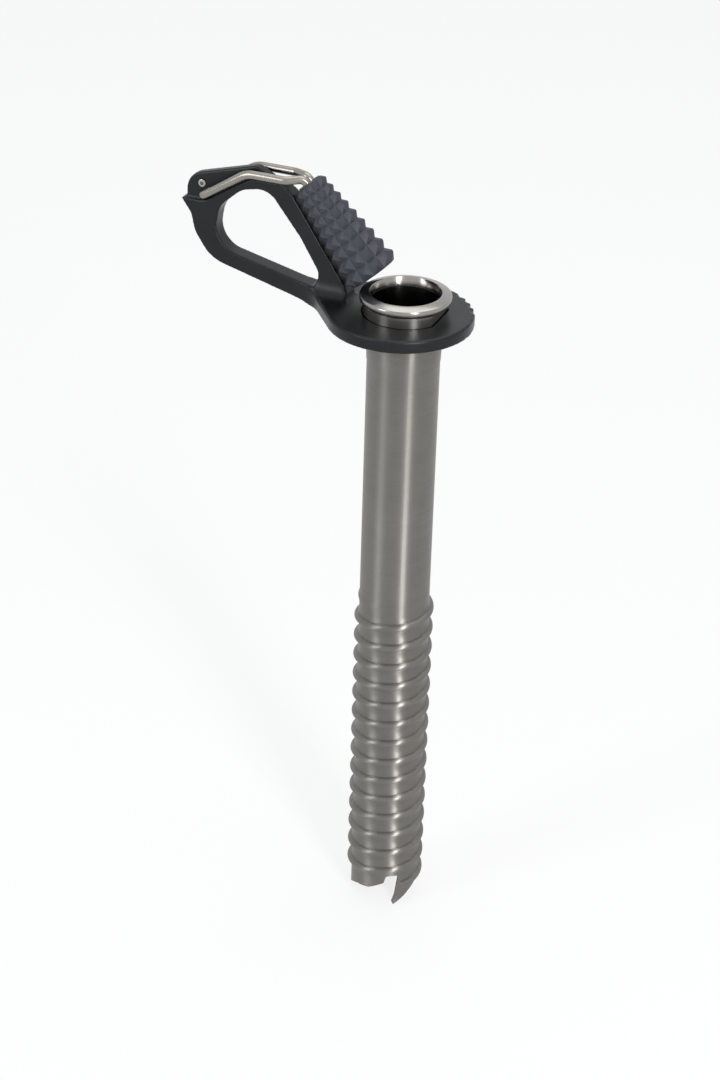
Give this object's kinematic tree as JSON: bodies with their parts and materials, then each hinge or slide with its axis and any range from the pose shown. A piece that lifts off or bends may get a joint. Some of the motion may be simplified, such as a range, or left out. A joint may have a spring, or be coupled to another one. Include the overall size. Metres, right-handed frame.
{
  "type": "ice climbing screw",
  "caption": "Threaded steel ice screw tube with ground hooked teeth, an upright forged hanger with a carabiner eye, and a folding wire crank with a spinning studded grip",
  "frame": {"origin": "On the tube's axis, at the hanger's underside, the plane that meets the ice", "axes": "+Z runs along the tube out of the ice towards the head; the hanger's carabiner eye points along -X and its front face looks along -Y"},
  "size_m": [0.0727, 0.0341, 0.1915],
  "materials": {
    "tube_steel": "satin",
    "head_steel": "polished",
    "dark_anodised": "matte dark anodised",
    "pin_steel": "satin",
    "wire_steel": "polished",
    "hard_plastic": "matte",
    "studded_rubber": "matte"
  },
  "bodies": {
    "anchor": {"screw_tube": "tube_steel", "drive_collar": "head_steel", "head_ring": "head_steel", "hanger": "dark_anodised", "detent_pin": "pin_steel"},
    "crank": {"crank_wire": "wire_steel"},
    "grip": {"grip_core": "hard_plastic", "grip_sleeve": "studded_rubber"}
  },
  "joints": [
    {"name": "crank_fold", "type": "hinge", "parent": "anchor", "child": "crank", "pos_m": [-0.0511, 0.0021, 0.0222], "axis": [0, -1, 0], "range_deg": [0, 150]},
    {"name": "grip_spin", "type": "hinge", "parent": "crank", "child": "grip", "pos_m": [-0.02526, 0.0021, 0.02893], "axis": [0.6528, 0, -0.7576], "continuous": true}
  ]
}
